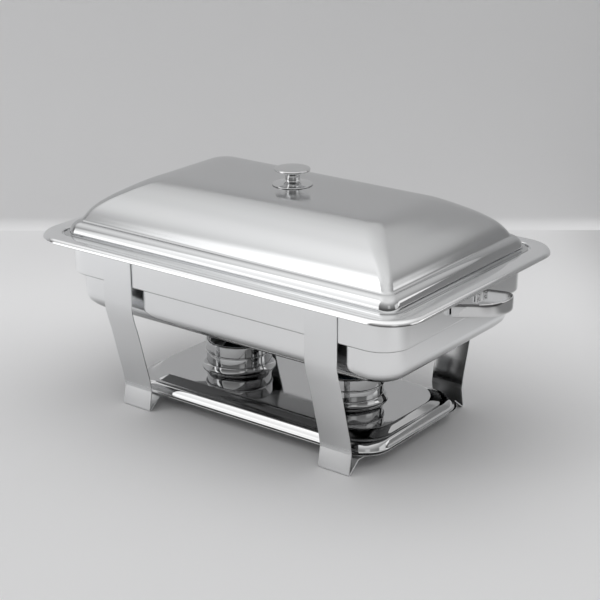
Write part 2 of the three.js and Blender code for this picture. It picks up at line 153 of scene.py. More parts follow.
def metal(name, base, rough, spread, scratch, smudge=0.4, wear=0.08, tint=0.015, scale=1.0,
          grain=900.0, brush=None, brush_depth=0.0, under=None, inside=None, painted_light_by_height=None,
          foot=None, rough_rise=None):
    """Steel with smudged, unevenly polished roughness, hair scratches, brushing and rubbed edges;
    under, inside, rise and foot paint light and shade into its colour.

    base, rough           colour and mean roughness
    spread, smudge        cloudiness of the polish and strength of wiped smudges
    scratch, wear, tint   strength of hair scratches, rubbed edges and colour drift
    scale, grain          density of the pattern and of its fine grain
    brush, brush_depth    stretch of the grain along X, Y, Z and its height
    under, inside         painted shade: a darker tone on faces turned down, and on faces turned to -Y
    rise                  painted light and shade by height: (heights in metres), (tones)
    foot                  painted light at the foot: tone below 30 mm, fading out by 36 mm
    rough_rise            extra roughness by height: (heights in metres), (amounts)
    """
    material = bpy.data.materials.new(name)
    graph = Graph(material)
    graph.tree.nodes.clear()
    calc, remap, link = graph.calc, graph.remap, graph.link
    output = graph.add("ShaderNodeOutputMaterial")
    bsdf = graph.add("ShaderNodeBsdfPrincipled", Metallic=1.0)
    link(bsdf.outputs[0], output.inputs[0])
    position = graph.add("ShaderNodeTexCoord").outputs["Object"]

    def noise(**settings):
        return graph.noise(position, **settings)

    # cloudy polish and wiped smudges
    cloud = remap(noise(scale=5.5 * scale, detail=5, rough=0.6), (0.32, 0.68), (-1, 1))
    wipe = remap(noise(scale=26 * scale, detail=4, rough=0.55, stretch=(0.35, 1.0, 1.0),
                       distort=0.6), (0.56, 0.74), (0, 1))
    value = calc("MULTIPLY", cloud, spread)
    value = calc("ADD", value, rough)
    value = calc("ADD", value, calc("MULTIPLY", wipe, smudge * 0.06))
    # fine grain, and hair scratches drawn out along X and along Y
    fine = noise(scale=grain, detail=2, rough=0.5, stretch=brush or (1, 1, 1))
    hair_x = remap(noise(scale=1.0, detail=2, rough=0.5, distort=0.2,
                         stretch=(38 * scale, 900 * scale, 500 * scale)), (0.70, 0.80), (0, 1))
    hair_y = remap(noise(scale=1.0, detail=2, rough=0.5, distort=0.25,
                         stretch=(1100 * scale, 46 * scale, 640 * scale)), (0.71, 0.80), (0, 1))
    hairs = calc("MULTIPLY", calc("ADD", hair_x, hair_y, clamp=True), scratch)
    value = calc("ADD", value, calc("MULTIPLY", hairs, 0.22))
    grain_rough = 0.16 if brush else 0.03
    value = calc("ADD", value, calc("MULTIPLY", calc("SUBTRACT", fine, 0.5), grain_rough))
    # rubbed edges
    geometry = graph.add("ShaderNodeNewGeometry")
    edge = remap(geometry.outputs["Pointiness"], (0.515, 0.60), (0, 1))
    patchy = remap(noise(scale=60 * scale, detail=4, rough=0.6), (0.35, 0.65), (0.25, 1))
    edge = calc("MULTIPLY", edge, patchy)
    value = calc("ADD", value, calc("MULTIPLY", edge, wear))
    if painted_light_by_height or foot or rough_rise:
        place = graph.add("ShaderNodeSeparateXYZ")
        link(position, place.inputs[0])
        height = place.outputs[2]
    if rough_rise:
        value = calc("ADD", value, remap(height, *rough_rise))
    value = calc("MAXIMUM", value, 0.02)
    link(value, bsdf.inputs["Roughness"])

    tone = metal_colour(graph, position, base, tint, scale, hairs)
    # painted light and shade in the colour: a darker tone on faces turned down or turned to -Y, a
    # tone by height and a tone at the foot
    painted_light_factors = []
    if under is not None or inside is not None:
        facing = graph.add("ShaderNodeSeparateXYZ")
        link(geometry.outputs["Normal"], facing.inputs[0])
    # painted shade on faces turned to -Y
    if inside is not None:
        painted_light_factors.append(remap(facing.outputs[1], (-0.60, -0.15), (inside, 1.0)))
    # painted shade on faces turned down
    if under is not None:
        painted_light_factors.append(remap(facing.outputs[2], (-0.80, -0.22), (under, 1.0)))
    # painted light and shade by height
    if painted_light_by_height:
        painted_light_factors.append(remap(height, *painted_light_by_height))
    # painted light at the foot
    if foot:
        painted_light_factors.append(remap(height, (0.030, 0.036), (foot, 1.0)))
    for factor in painted_light_factors:
        tone = graph.dim(tone, factor)
    link(tone, bsdf.inputs["Base Color"])

    # relief of the grain, the scratches and a faint ripple
    bump = graph.add("ShaderNodeBump", Strength=1.0, Distance=0.00002)
    relief = calc("ADD", calc("MULTIPLY", fine, brush_depth), calc("MULTIPLY", hairs, -0.35))
    ripple = calc("MULTIPLY", noise(scale=190, detail=3, rough=0.5), 0.10)
    link(calc("ADD", relief, ripple), bump.inputs["Height"])
    link(bump.outputs[0], bsdf.inputs["Normal"])
    return material


def mottled(name, dark, light, **noise):
    """A material whose colour drifts between two tones: material, graph, shader and pattern."""
    material = bpy.data.materials.new(name)
    graph = Graph(material)
    bsdf = graph.tree.nodes["Principled BSDF"]
    position = graph.add("ShaderNodeTexCoord").outputs["Object"]
    pattern = graph.noise(position, **noise)
    ramp = graph.add("ShaderNodeValToRGB")
    ramp.color_ramp.elements[0].color = (*dark, 1)
    ramp.color_ramp.elements[1].color = (*light, 1)
    graph.link(pattern, ramp.inputs[0])
    graph.link(ramp.outputs[0], bsdf.inputs["Base Color"])
    return material, graph, bsdf, pattern


def uneven(name, rough_range, bump_strength, bump_distance, **look):
    """A mottled material whose roughness and relief follow the same pattern."""
    material, graph, bsdf, pattern = mottled(name, **look)
    graph.link(graph.remap(pattern, (0, 1), rough_range), bsdf.inputs["Roughness"])
    bump = graph.add("ShaderNodeBump", Strength=bump_strength, Distance=bump_distance)
    graph.link(pattern, bump.inputs["Height"])
    graph.link(bump.outputs[0], bsdf.inputs["Normal"])
    return material, bsdf


def silicone():
    return uneven("silicone_gasket", rough_range=(0.55, 0.8), bump_strength=0.3,
                  bump_distance=0.0001, dark=(0.018, 0.018, 0.020), light=(0.045, 0.045, 0.048),
                  scale=900.0, detail=4.0, rough=0.6)[0]


def gel():
    material, bsdf = uneven("fuel_gel", rough_range=(0.18, 0.42), bump_strength=0.5,
                            bump_distance=0.0006, dark=(0.05, 0.07, 0.10),
                            light=(0.12, 0.16, 0.20), scale=120.0, detail=5.0, rough=0.55)
    bsdf.inputs["Subsurface Weight"].default_value = 0.6
    bsdf.inputs["Subsurface Radius"].default_value = (0.004, 0.006, 0.008)
    bsdf.inputs["Coat Weight"].default_value = 0.6
    return material


# leg steel with painted light and shade: darker towards the bottom, lighter towards the top, and
# brighter on the foot
LEG_PAINTED_LIGHT_LOOK = dict(base=(0.82, 0.825, 0.83), rough=0.15, spread=0.02, scratch=0.06, grain=1500.0,
                painted_light_by_height=((0.040, 0.205), (0.84, 1.10)), foot=1.20,
                rough_rise=((0.030, 0.037), (0.20, 0.0)))
MAT = {
    "lid": metal("lid_polish", base=(0.655, 0.66, 0.665), rough=0.065, spread=0.015, smudge=0.35,
                 scratch=0.05, wear=0.06, tint=0.012,
                 rough_rise=((0.246, 0.262), (0.0, 0.10))),
    # the pan steel carries painted shade on its faces turned down
    "pan": metal("pan_polish", base=(0.93, 0.935, 0.94), rough=0.11, spread=0.02, scratch=0.08,
                 tint=0.012, under=0.22),
    "tray": metal("tray_polish", base=(0.62, 0.622, 0.625), rough=0.045, spread=0.012,
                  smudge=0.5, scratch=0.10, tint=0.012),
    "burner": metal("burner_polish", base=(0.56, 0.562, 0.565), rough=0.045, spread=0.012,
                    smudge=0.3, scratch=0.08, wear=0.06, scale=2.0),
    "turned": metal("turned_polish", base=(0.72, 0.723, 0.726), rough=0.05, spread=0.012,
                    smudge=0.3, scratch=0.06, wear=0.06, scale=2.0),
    "handle": metal("handle_polish", base=(0.74, 0.74, 0.74), rough=0.07, spread=0.015,
                    smudge=0.5, scratch=0.10, scale=1.5),
    "leg": metal("leg_satin", **LEG_PAINTED_LIGHT_LOOK),
    # rear legs: a shaded copy of the leg steel, with painted shade on their faces turned to -Y,
    # towards the middle of the dish
    "leg_rear_painted_shade": metal("leg_satin_rear_painted_shade", inside=0.42, **LEG_PAINTED_LIGHT_LOOK),
    "frame": metal("frame_satin", base=(0.70, 0.705, 0.71), rough=0.30, spread=0.04,
                   scratch=0.15, brush=(0.05, 0.05, 1), brush_depth=0.6, wear=0.10, tint=0.03),
    "food": metal("food_pan_satin", base=(0.72, 0.725, 0.73), rough=0.26, spread=0.04,
                  smudge=0.6, scratch=0.25, brush=(0.03, 1, 1), brush_depth=0.5, wear=0.10,
                  tint=0.02, grain=1200.0),
    "fastener": metal("fastener_satin", base=(0.70, 0.70, 0.70), rough=0.24, spread=0.04,
                      scratch=0.2, wear=0.12, tint=0.03, scale=4.0),
    "tin": metal("tinplate", base=(0.42, 0.425, 0.43), rough=0.32, spread=0.06, smudge=0.5,
                 scratch=0.3, brush=(1, 1, 0.05), brush_depth=0.5, wear=0.12, tint=0.04,
                 scale=2.0),
    "silicone": silicone(),
    "gel": gel(),
}

# slot of each material; the ones not listed are polished steel
SLOTS = dict.fromkeys(("leg", "leg_rear_painted_shade", "frame", "food", "fastener"), "satin_steel")
SLOTS.update(tin="tinplate", silicone="silicone", gel="fuel_gel")


# ------------------------------------------------------------------ mesh helpers
def make(name, shape, mat, body, replaced=None, angle=38.0):
    """One piece from (vertices in millimetres, faces), smooth except over edges past angle."""
    verts, faces = shape
    mesh = bpy.data.meshes.new(name)
    mesh.from_pydata([tuple(np.asarray(v, float) * MM) for v in verts], [], faces)
    bm = bmesh.new()
    bm.from_mesh(mesh)
    bmesh.ops.remove_doubles(bm, verts=bm.verts, dist=1e-6)
    bmesh.ops.dissolve_degenerate(bm, edges=bm.edges, dist=1e-7)
    bmesh.ops.recalc_face_normals(bm, faces=bm.faces)
    if bm.calc_volume(signed=True) < 0:
        bmesh.ops.reverse_faces(bm, faces=bm.faces)
    bm.to_mesh(mesh)
    bm.free()
    mesh.shade_smooth()
    mesh.set_sharp_from_angle(angle=math.radians(angle))
    mesh.materials.append(MAT[mat])
    ob = bpy.data.objects.new(name, mesh)
    bpy.context.scene.collection.objects.link(ob)
    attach(ob, body)
    if replaced:
        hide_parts(replaced)
    SLOTS.get(mat, "polished_steel")


def ring(half_x, half_y, radius, z, facets):
    """One rounded rectangle."""
    radius = max(0.8, min(radius, half_x - 0.4, half_y - 0.4))
    points = []
    for quarter in range(4):
        sx = 1 if quarter in (0, 3) else -1
        sy = 1 if quarter < 2 else -1
        for i in range(facets + 1):
            angle = (quarter + i / facets) * math.pi / 2
            points.append((sx * (half_x - radius) + radius * math.cos(angle),
                           sy * (half_y - radius) + radius * math.sin(angle), z))
    return points


def skin(rings):
    """A closed skin over rings of equal count, with a fan at each end."""
    count, last = len(rings[0]), len(rings) - 1
    verts = [p for r in rings for p in r]
    faces = []
    for k in range(last):
        for i in range(count):
            j = (i + 1) % count
            a, b = k * count + i, k * count + j
            faces.append((a, b, b + count, a + count))
    for k in (0, last):
        centre = len(verts)
        verts.append(tuple(np.mean(np.array(rings[k]), axis=0)))
        for i in range(count):
            a, b = k * count + i, k * count + (i + 1) % count
            faces.append((centre, b, a) if k == 0 else (centre, a, b))
    return verts, faces


def unit(vector):
    return vector / np.linalg.norm(vector)


def headings(points):
    """Directions into and out of each point of an open line."""
    steps = [unit(step) for step in np.diff(points, axis=0)]
    return zip(steps[:1] + steps, steps + steps[-1:])


def offset_line(line, distance):
    """The line moved to its right-hand side, with mitred corners."""
    line = np.array(line, float)
    moved = []
    for point, (before, after) in zip(line, headings(line)):
        total = before + after
        mitre = np.array([total[1], -total[0]])
        moved.append(point + mitre * (2 / max(0.5, mitre @ mitre)) * distance)
    return np.array(moved)


def fillet(points, steps):
    """A line of (across, up, radius) points with each corner rounded."""
    places = [np.array(p[:2], float) for p in points]
    out = [places[0]]
    for i in range(1, len(places) - 1):
        before, corner, after = places[i - 1:i + 2]
        radius = points[i][2]
        u, v = before - corner, after - corner
        length_u, length_v = np.linalg.norm(u), np.linalg.norm(v)
        u, v = u / length_u, v / length_v
        half = math.acos(float(np.clip(u @ v, -1, 1))) / 2
        if radius <= 0 or half > math.radians(88.5):
            out.append(corner)
            continue
        setback = min(radius / math.tan(half), length_u * 0.49, length_v * 0.49)
        radius = setback * math.tan(half)
        centre = corner + unit(u + v) * (radius / math.sin(half))
        start = math.atan2(*(corner + u * setback - centre)[::-1])
        stop = math.atan2(*(corner + v * setback - centre)[::-1])
        turn = (stop - start + math.pi) % (2 * math.pi) - math.pi
        for k in range(steps + 1):
            angle = start + turn * k / steps
            out.append(centre + radius * np.array([math.cos(angle), math.sin(angle)]))
    out.append(places[-1])
    return [tuple(p) for p in out]


def pressing(stations, thick, facets=CORNER):
    """Pressed sheet with a rounded free edge. stations are (half-length, half-width,
    corner radius, z) of the top face from the middle to the edge."""
    stations = np.array(stations, float)
    top = stations[:, [0, 3]]
    low = offset_line(top, thick)

    def grown(row, x, z):
        """The ring of a station, grown evenly to half-length x and moved to height z."""
        extra = x - row[0]
        return ring(row[0] + extra, row[1] + extra, row[2] + extra, z, facets)

    rings = [ring(*row, facets) for row in stations]
    centre, radius = (top[-1] + low[-1]) / 2, np.linalg.norm(top[-1] - low[-1]) / 2
    start = math.atan2(top[-1][1] - centre[1], top[-1][0] - centre[0])
    for k in range(1, 6):
        angle = start - math.pi * k / 6
        x, z = centre + radius * np.array([math.cos(angle), math.sin(angle)])
        rings.append(grown(stations[-1], x, z))
    rings += [grown(row, x, z) for row, (x, z) in zip(stations[::-1], low[::-1])]
    return skin(rings)


def lathe(profile, x=0.0, facets=ROUND):
    """A piece turned about the vertical line at x, y = 0. profile is (radius, z); it starts
    and ends on the axis, or off the axis and is then closed on itself."""
    closed = profile[0][0] > 1e-6 and profile[-1][0] > 1e-6
    verts, faces, rows = [], [], []
    for radius, z in profile:
        if radius < 1e-6:
            rows.append([len(verts)])
            verts.append((x, 0.0, z))
        else:
            rows.append(list(range(len(verts), len(verts) + facets)))
            for i in range(facets):
                angle = 2 * math.pi * i / facets
                verts.append((x + radius * math.cos(angle), radius * math.sin(angle), z))
    for k in range(len(rows) if closed else len(rows) - 1):
        a, b = rows[k], rows[(k + 1) % len(rows)]
        if len(a) == 1 and len(b) == 1:
            continue
        for i in range(facets):
            j = (i + 1) % facets
            if len(a) == 1:
                faces.append((a[0], b[j], b[i]))
            elif len(b) == 1:
                faces.append((a[i], a[j], b[0]))
            else:
                faces.append((a[i], a[j], b[j], b[i]))
    return verts, faces


def sweep(path, ease):
    """Place, normal and size of each cross-section along a path in a plane. ease lists
    (distance from the end, size) inwards from the start and is mirrored at the far end."""
    path = np.array(path, float)
    for i, (point, (before, after)) in enumerate(zip(path, headings(path))):
        along = unit(before + after)
        if i == 0:
            cuts = ease
        elif i == len(path) - 1:
            cuts = [(-distance, size) for distance, size in reversed(ease)]
        else:
            cuts = [(0.0, ease[-1][1])]
        for distance, size in cuts:
            yield point + along * distance, np.array([along[1], -along[0]]), size


def strap(path, sides, thick, place, end=0.6, edge=0.7, facets=4):
    """A flat bar with eased edges and ends following a path in a plane. sides are its two
    limits across the plane, place sends (u, v, across) to (x, y, z)."""
    rings = []
    for centre, normal, shrink in sweep(path, [(0.0, end), (end * 0.3, end * 0.3), (end, 0.0)]):
        half = thick / 2 - shrink * 0.55
        radius = min(edge, thick / 2 * 0.98, half * 0.98)
        low, high = sides[0] + shrink + radius, sides[1] - shrink - radius
        up = half - radius
        section = []
        for quarter, (cx, cy) in enumerate(((high, up), (low, up), (low, -up), (high, -up))):
            for i in range(facets + 1):
                angle = (quarter + i / facets) * math.pi / 2
                u, v = centre + normal * (cy + radius * math.sin(angle))
                section.append(place(u, v, cx + radius * math.cos(angle)))
        rings.append(section)
    return skin(rings)


def smooth_profile(points, samples):
    """A smooth monotone curve through (across, up) points, sampled evenly along their length."""
    points = np.array(points, float)
    length = np.concatenate([[0], np.cumsum(np.hypot(*np.diff(points, axis=0).T))])
    at = np.linspace(0, length[-1], samples)
    gap = np.diff(length)
    i = np.clip(np.searchsorted(length, at, side="right") - 1, 0, len(gap) - 1)
    u = (at - length[i]) / gap[i]

    def hermite(y):
        rate = np.diff(y) / gap
        product, total = rate[:-1] * rate[1:], rate[:-1] + rate[1:]
        slope = np.zeros(len(y))
        slope[1:-1] = np.where(product > 0, 2 * product / np.where(total == 0, 1, total), 0)
        slope[0], slope[-1] = rate[0], rate[-1]
        return ((2 * u**3 - 3 * u**2 + 1) * y[i] + (u**3 - 2 * u**2 + u) * gap[i] * slope[i]
                + (-2 * u**3 + 3 * u**2) * y[i + 1] + (u**3 - u**2) * gap[i] * slope[i + 1])

    return np.stack([hermite(points[:, 0]), hermite(points[:, 1])], 1)


# ------------------------------------------------------------------ water pan
def nearest_segment(line, point):
    """Index of the nearest segment of a line, and the share of the way along it."""
    best = None
    for i, (a, b) in enumerate(zip(line, line[1:])):
        span = b - a
        share = float(np.clip((point - a) @ span / (span @ span), 0, 1))
        gap = np.hypot(*(a + span * share - point))
        if best is None or gap < best[0] - 1e-9:
            best = (gap, i, share)
    return best[1:]


def water_pan():
    """Deep bowl, a step out to the shoulder, a ledge inside the rim and a curled edge."""
    thick = 1.0
    rim_x, rim_y, rim_z = PAN_HI
    floor_z = PAN_LO[2] + thick
    step_z, ledge_z = 181, rim_z - 4.3
    bowl = (252 - thick, 148 - thick, 36)            # half-length, half-width, corner radius
    shoulder = (261.5 - thick, 157.9 - thick, 38)
    ledge = (267.3, 164.7, 25)
    rim_corner, curl = 48, 6.3
    # half-length, half-width, corner radius, z, fillet
    rows = [
        (bowl[0] - 90, bowl[1] - 90, 12, floor_z, 0.0),
        (*bowl, floor_z, 23),
        (*bowl, step_z - 0.6, 1.6),
        (*shoulder, step_z + 1.4, 2.2),
        (*shoulder, ledge_z, 2.0),
        (*ledge, ledge_z, 0.9),
        (*ledge, rim_z, 1.8),
    ]
    for angle in np.radians(np.linspace(90, 4.6, 11)):
        inset = curl - curl * math.cos(angle)
        rows.append((rim_x - inset, rim_y - inset, rim_corner - inset,
                     rim_z - curl + curl * math.sin(angle), 0.0))
    rows = np.array(rows)
    # carry width and corner radius along from the unrounded line to the rounded one
    stations = []
    for x, z in fillet(rows[:, [0, 3, 4]], steps=8):
        i, share = nearest_segment(rows[:, [0, 3]], np.array((x, z)))
        near = rows[i] * (1 - share) + rows[i + 1] * share
        extra = x - near[0]
        stations.append((x, near[1] + extra, max(3, near[2] + extra), z))
    make("water_pan_shell", pressing(stations, thick), "pan", "water_pan", "water_pan")


water_pan()


# ------------------------------------------------------------------ handles
STRAP_THICK = 3.0
SIDES = (("left", -1), ("right", 1))


def handle(side, sx):
    """A loop of polished strap, D-shaped in plan, its ends folded inwards against the shoulder."""
    x0, z0 = HANDLE_LO[0], HANDLE_LO[2]
    x1, z1 = HANDLE_HI[0], HANDLE_HI[2]
    thick, height = STRAP_THICK, 17.1
    radius = 29.7                  # outer bend of the loop, on the strap's middle line
    root, tab = 35.1, 13.0         # half-spacing of the folds, length of each folded end
    steps = 36
    bend_x, tab_x = x1 - thick / 2 - radius, x0 + thick / 2
    # the straight sides lean so that they run smoothly into the bend
    reach = bend_x - tab_x
    lean = math.atan2(root, reach) - math.asin(radius / math.hypot(reach, root))
    tangent = (bend_x + radius * math.sin(lean), -radius * math.cos(lean))
    half = fillet([(tab_x, -(root - tab), 0), (tab_x, -root, 3.0), (*tangent, 0)], steps=10)[:-1]
    half += [(bend_x + radius * math.cos(a), radius * math.sin(a))
             for a in np.linspace(lean - math.pi / 2, 0, 30)[:-1]]
    path = half + [(bend_x + radius, 0.0)] + [(x, -y) for x, y in reversed(half)]
    slope = (z1 - z0 - height) / (x1 - x0 - thick)
    rings = []
    for centre, normal, size in sweep(path, [(0.0, 0.55), (0.5, 0.86), (1.5, 1.0)]):
        section = []
        for j in range(steps):
            angle = 2 * math.pi * j / steps
            ca, sa = math.cos(angle), math.sin(angle)
            across = thick / 2 * size * math.copysign(abs(ca) ** 0.66, ca)
            up = (height / 2 - (1 - size) * 1.4) * math.copysign(abs(sa) ** 0.5, sa)
            x, y = centre + normal * across
            section.append((sx * x, y, z0 + height / 2 + up + slope * max(0.0, x - x0 - thick)))
        rings.append(section)
    make(f"handle_strap_{side}", skin(rings), "handle", "water_pan", f"handle_{side}", angle=60)


def weld_marks(side, sx):
    """Spot-weld marks on the handle tabs: shallow pressed discs."""
    # radius, height off the tab
    profile = [(0.0, 0.16), (1.1, 0.16), (1.5, 0.42), (1.9, 0.5), (2.3, 0.42), (2.7, 0.05),
               (2.7, -0.2), (0.0, -0.2)]
    disc, faces = lathe(profile, facets=32)
    x = HANDLE_LO[0] + STRAP_THICK
    for y in (-26.5, 26.5):
        for up in (5.0, 12.0):
            z = HANDLE_LO[2] + up
            verts = [(sx * (x + out), y + a, z + b) for a, b, out in disc]
            make(f"weld_mark_{side}_{'f' if y < 0 else 'r'}{int(up)}", (verts, faces),
                 "handle", "water_pan")


for piece in (handle, weld_marks):
    for side, sx in SIDES:
        piece(side, sx)


# ------------------------------------------------------------------ food pan
def food_pan():
    """Shallow pan with a rounded floor edge, steep walls and a flat flange."""
    thick = 0.9
    top = FOOD_HI[2]
    floor = FOOD_LO[2] + thick
    floor_x, wall_x, flange_x = 241, 252.5, 264.55     # half-lengths
    narrower = 102.5                                   # half-length less half-width
    # half-length, z, fillet
    profile = [(200, floor, 0), (floor_x + 0.6, floor, 15), (wall_x - 2.2, top - 14, 6),
               (wall_x - 1.5, top - 5, 3), (wall_x, top, 2.4), (flange_x, top, 0)]
    stations = [(150, 50, 12, floor), (200, 98, 20, floor)]
    for x, z in fillet(profile, steps=8)[1:]:
        if x < wall_x:
            radius = 30 + 20 * np.clip((x - floor_x) / (wall_x - floor_x), 0, 1)
        else:
            radius = 50 - 27 * (x - wall_x) / 12.5
        stations.append((x, x - narrower, radius, z))
    make("food_pan_shell", pressing(stations, thick), "food", "food_pan", "food_pan")


food_pan()


# ------------------------------------------------------------------ lid
# inset from the edge, z
LID_PROFILE = [
    (0.45, 232.7), (5.0, 232.7), (5.7, 232.95), (6.0, 234.2), (6.25, 236.6), (7.1, 239.6),
    (8.7, 243.1), (10.9, 246.0), (13.6, 248.2), (16.4, 249.55), (18.3, 250.0), (19.1, 250.5),
    (22, 255.0), (26, 261.4), (31, 267.6), (38, 274.1), (48, 281.6), (60, 289.0), (72, 295.8),
    (82, 300.7), (90, 303.8), (98, 305.9), (108, 307.05), (120, 307.5), (134, 307.6),
]


def lid_corner(inset):
    """Corner radius: it tightens over the flange, then opens slowly up the dome."""
    return 22 - 11 * inset / 19 if inset < 19 else 11 + 0.14 * (inset - 19)


def lid():
    half_x, half_y = LID_HI[:2]
    stations = [(half_x - inset, half_y - inset, lid_corner(inset), z)
                for inset, z in smooth_profile(LID_PROFILE[::-1], 120)]
    make("lid_dome", pressing(stations, 0.9, facets=14), "lid", "lid", "lid_shell", angle=60)


def knob_spool():
    """Waisted knob with a flat foot, a domed top and a blind screw hole from below."""
    top, base, out = KNOB_HI[2], LID_HI[2] + 0.3, KNOB_HI[0]
    hole = 3.1
    # radius, z
    foot = [(20.0, base + 1.2), (20.0, base), (out - 0.5, base), (out - 0.12, base + 0.12),
            (out, base + 0.45), (out - 0.12, base + 0.8)]
    waist = [
        (out - 0.6, base + 1.05), (23.4, base + 1.5), (20.2, base + 2.0), (16.4, base + 2.5),
        (13.4, base + 3.15), (11.3, base + 4.1), (10.0, base + 5.3), (9.45, base + 6.8),
        (9.5, base + 9.0), (10.0, base + 11.2), (11.2, base + 13.4), (13.6, base + 15.4),
        (17.0, base + 16.9), (20.6, base + 17.8), (22.4, base + 18.3),
    ]
    cap = [
        (22.4, base + 18.3), (22.9, base + 18.6), (23.15, base + 19.2), (23.2, base + 19.9),
        (22.95, base + 20.6), (22.3, base + 21.1), (20.8, top - 1.05), (17, top - 0.62),
        (12, top - 0.28), (6, top - 0.06), (0, top),
    ]
    rows = [(hole, base + 1.2), *foot, *smooth_profile(waist, 64)[:-1], *smooth_profile(cap, 34),
            (0, base + 13), (hole, base + 13)]
    make("knob_spool", lathe(rows), "turned", "lid", "lid_knob", angle=50)


def knob_gasket():
    low, high = box_mm("knob_gasket")
    out, z0, z1 = high[0], low[2], high[2]
    rows = [(4.5, z0), (out - 0.4, z0), (out, z0 + 0.4), (out, z1 - 0.4), (out - 0.4, z1),
            (4.5, z1)]
    make("knob_gasket_ring", lathe(rows), "silicone", "lid", "knob_gasket")


def knob_washer():
    low, high = box_mm("knob_washer")
    z0, z1 = low[2], high[2]
    rows = [(3.1, z0 + 0.2), (3.3, z0), (8.6, z0), (9, z0 + 0.3), (9, z1 - 0.2), (8.8, z1),
            (3.1, z1)]
    make("knob_washer_ring", lathe(rows), "fastener", "lid", "knob_washer")


def knob_screw():
    """Screw with its head down: a recessed, rounded head and a ridged shank."""
    low, high = box_mm("knob_screw")
    z, tip = low[2], high[2]
    crest, valley, pitch = 2.2, 1.75, 1.0
    rows = [(0, z + 1.1), (1.6, z + 1.1), (1.7, z), (3.4, z), (4.4, z + 0.35), (5.0, z + 1.1),
            (5.2, z + 2.2), (5.2, z + 2.4), (crest, z + 2.6)]
    for i in range(14):
        ridge = z + 3.0 + i * pitch
        if ridge + pitch > tip - 0.4:
            break
        rows += [(crest, ridge), (valley, ridge + pitch / 2)]
    rows += [(crest, tip - 0.4), (1.8, tip), (0, tip)]
    make("knob_screw_body", lathe(rows, facets=48), "fastener", "lid", "knob_screw", angle=30)


lid()
knob_spool()
knob_gasket()
knob_washer()
knob_screw()


# ------------------------------------------------------------------ stand
# outer face of a leg: distance from the middle in Y, z
LEG_FACE = [
    (160.6, 227.5), (160.6, 153), (159.4, 145), (156.4, 133), (151.2, 117), (146.6, 101),
    (142.6, 86), (138.6, 71), (134.6, 57), (131.2, 44), (128.2, 27),
]


def leg(side_y, sy, side_x, sx):
    """A bent strap ending in a foot, a fold and a level tab turned inwards."""
    thick = 2.0
    centre = list(offset_line(smooth_profile(LEG_FACE, 44), thick / 2))
    foot = fillet([(*centre[-2], 0), (*centre[-1], 2.5), (132.62, -1.12, 1.6),
                   (111.9, 15.0, 2.4), (97.2, 15.0, 0)], steps=10)
    shape = strap(centre[:-2] + foot, (LEG_LO[0], LEG_HI[0]), thick,
                  lambda y, z, x: (sx * x, sy * y, z))
    # the rear legs take the shaded copy of the leg steel, with painted shade
    make(f"leg_strap_{side_y}_{side_x}", shape, "leg_rear_painted_shade" if side_y == "rear" else "leg",
         "stand", f"leg_{side_y}_{side_x}", angle=50)


def rail(side_y, sy):
    """Flat bar outside the legs, under the rim, that carries the water pan's ledge."""
    (x0, y0, z0), (x1, y1, z1) = RAIL_LO, RAIL_HI
    middle = (y0 + y1) / 2
    path = [(x, 0.0) for x in (x0, -120.0, 0.0, 120.0, x1)]
    shape = strap(path, (z0, z1), y1 - y0, lambda x, y, z: (x, sy * (middle + y), z), end=0.8)
    make(f"rail_bar_{side_y}", shape, "frame", "stand", f"rail_{side_y}", angle=50)


for side_y, sy in (("front", -1), ("rear", 1)):
    for side_x, sx in SIDES:
        leg(side_y, sy, side_x, sx)
rail("rear", 1)
rail("front", -1)


# distance outwards from the edge of the flat panel, z
TRAY_PROFILE = [
    (-3.4, 37.6), (-2.4, 37.54), (-1.3, 37.2), (0.0, 36.45), (2.6, 34.7), (5.2, 32.85),
    (7.0, 31.55), (8.2, 30.8), (9.2, 30.4), (10.4, 30.35), (11.6, 30.5), (12.8, 30.35),
    (14.2, 29.7), (15.8, 28.4), (17.2, 26.4), (18.4, 24.0), (19.2, 21.9), (19.8, 20.4),
    (20.5, 19.4), (21.4, 18.98), (22.4, 18.9), (23.5, 18.9),
]


def tray():
    """Raised flat panel with a moulded border falling to a level edge."""
    panel_x, panel_y, border = 186.3, 87.4, 24.0
    squeeze = (TRAY_HI[0] - panel_x) / border
    rows = [(out, TRAY_HI[2]) for out in (-70, -40, -12)] + list(smooth_profile(TRAY_PROFILE, 90))
    stations = [(panel_x + out * squeeze, panel_y + out, 47.0 - 11.0 * out / border, z)
                for out, z in rows]
    make("tray_pressing", pressing(stations, 1.0, facets=20), "tray", "stand", "fuel_tray",
         angle=50)


tray()


# ------------------------------------------------------------------ burners
CUP_R = 45.0         # cup wall
SKIRT_R = 50.0       # foot of the flared base ring
OPENING_R = 38.0     # opening in the cover ring
CAN_R = 40.5         # fuel can
MOUTH_R = 21.0       # mouth of the fuel can


def arc(centre_r, centre_z, radius_r, radius_z, start, stop, count):
    return [(centre_r + radius_r * math.cos(a), centre_z + radius_z * math.sin(a))
            for a in np.linspace(start, stop, count)]


def burner_cup(side, x, z, top):
    """Open cup with a shallow beaded floor."""
    R = CUP_R
    rows = [
        (0, z + 0.6), (30, z + 0.6), (31, z + 1.0), (34, z + 1.0), (35, z + 0.6),
        (R - 3.8, z + 0.6), (R - 2.2, z + 1.1), (R - 1.4, z + 2.2), (R - 1.2, z + 3.4),
        (R - 1.2, top - 2.0), (R - 1.35, top - 1.8), (R - 2.05, top - 1.8), (R - 2.2, top - 2.0),
        (R - 2.2, z + 3.6), (R - 2.6, z + 2.5), (R - 3.8, z + 1.8), (35.2, z + 1.8),
        (34, z + 2.0), (31, z + 2.0), (30, z + 1.8), (0, z + 1.8),
    ]
    make(f"cup_{side}", lathe(rows, x), "burner", f"burner_{side}", f"burner_cup_{side}")


